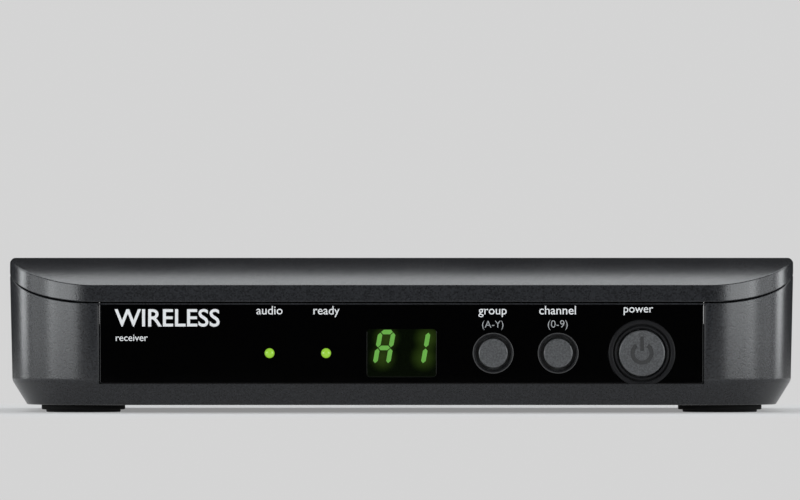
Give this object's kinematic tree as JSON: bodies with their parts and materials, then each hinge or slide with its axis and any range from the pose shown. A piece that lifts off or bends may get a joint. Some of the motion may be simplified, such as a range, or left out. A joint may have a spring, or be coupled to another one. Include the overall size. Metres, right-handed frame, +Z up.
{
  "type": "wireless receiver unit",
  "caption": "Low desktop receiver with a matt case, a gloss black front panel with a lit display, indicator lamps and push buttons, and sockets in the rear panel.",
  "frame": {"origin": "centre of the bounding box on the surface that the feet stand on", "axes": "+Z up, the front panel faces -Y, +X to the right seen from the front"},
  "size_m": [0.188, 0.099, 0.037],
  "materials": {
    "case_plastic": "fine satin texture, dark grey",
    "button_plastic": "satin grey",
    "panel_gloss": "polished black with printed light grey words",
    "window_tint": "polished dark green tint",
    "led_lens": "lit yellow green",
    "black_plastic": "black moulding",
    "board_laminate": "green solder mask",
    "ribbon_film": "pale flat cable",
    "nickel_plate": "bright nickel",
    "screw_steel": "zinc plated",
    "foot_rubber": "black rubber"
  },
  "bodies": {
    "case": {"top_cover": "case_plastic", "lower_case": "case_plastic", "front_panel": "panel_gloss", "display_window": "window_tint", "rear_panel": "case_plastic", "group_ring": "button_plastic", "channel_ring": "button_plastic", "power_ring": "button_plastic", "group_switch": "black_plastic", "channel_switch": "black_plastic", "power_switch": "black_plastic", "audio_led": "led_lens", "ready_led": "led_lens", "front_board": "board_laminate", "display_module": "black_plastic", "main_board": "board_laminate", "board_ribbon": "ribbon_film", "ribbon_header": "ribbon_film", "antenna_left": "nickel_plate", "antenna_right": "nickel_plate", "rf_shield_can": "nickel_plate", "microcontroller": "black_plastic", "audio_chip": "black_plastic", "crystal": "nickel_plate", "regulator": "black_plastic", "capacitor_1": "screw_steel", "capacitor_2": "screw_steel", "xlr_shell": "black_plastic", "xlr_insert": "black_plastic", "xlr_pin_1": "nickel_plate", "xlr_pin_2": "nickel_plate", "xlr_pin_3": "nickel_plate", "phone_jack_body": "black_plastic", "phone_jack_bush": "nickel_plate", "phone_jack_nut": "nickel_plate", "dc_jack": "black_plastic", "foot_front_left": "foot_rubber", "foot_front_right": "foot_rubber", "foot_rear_left": "foot_rubber", "foot_rear_right": "foot_rubber", "case_screw_front_left": "screw_steel", "case_screw_front_right": "screw_steel", "case_screw_rear_left": "screw_steel", "case_screw_rear_right": "screw_steel", "board_screw_front_left": "screw_steel", "board_screw_front_right": "screw_steel", "board_screw_rear_left": "screw_steel", "board_screw_rear_right": "screw_steel"},
    "group_button_body": {"group_button": "button_plastic", "group_plunger": "black_plastic"},
    "channel_button_body": {"channel_button": "button_plastic", "channel_plunger": "black_plastic"},
    "power_button_body": {"power_button": "button_plastic", "power_plunger": "black_plastic"}
  },
  "joints": [
    {"name": "group_button_press", "type": "slide", "parent": "case", "child": "group_button_body", "axis": [0, 1, 0], "range_m": [0, 0.0005], "stiffness_N_per_m": 2000, "springref_m": -0.0005},
    {"name": "channel_button_press", "type": "slide", "parent": "case", "child": "channel_button_body", "axis": [0, 1, 0], "range_m": [0, 0.0005], "stiffness_N_per_m": 2000, "springref_m": -0.0005},
    {"name": "power_button_press", "type": "slide", "parent": "case", "child": "power_button_body", "axis": [0, 1, 0], "range_m": [0, 0.0012], "stiffness_N_per_m": 1500, "springref_m": -0.0005}
  ]
}
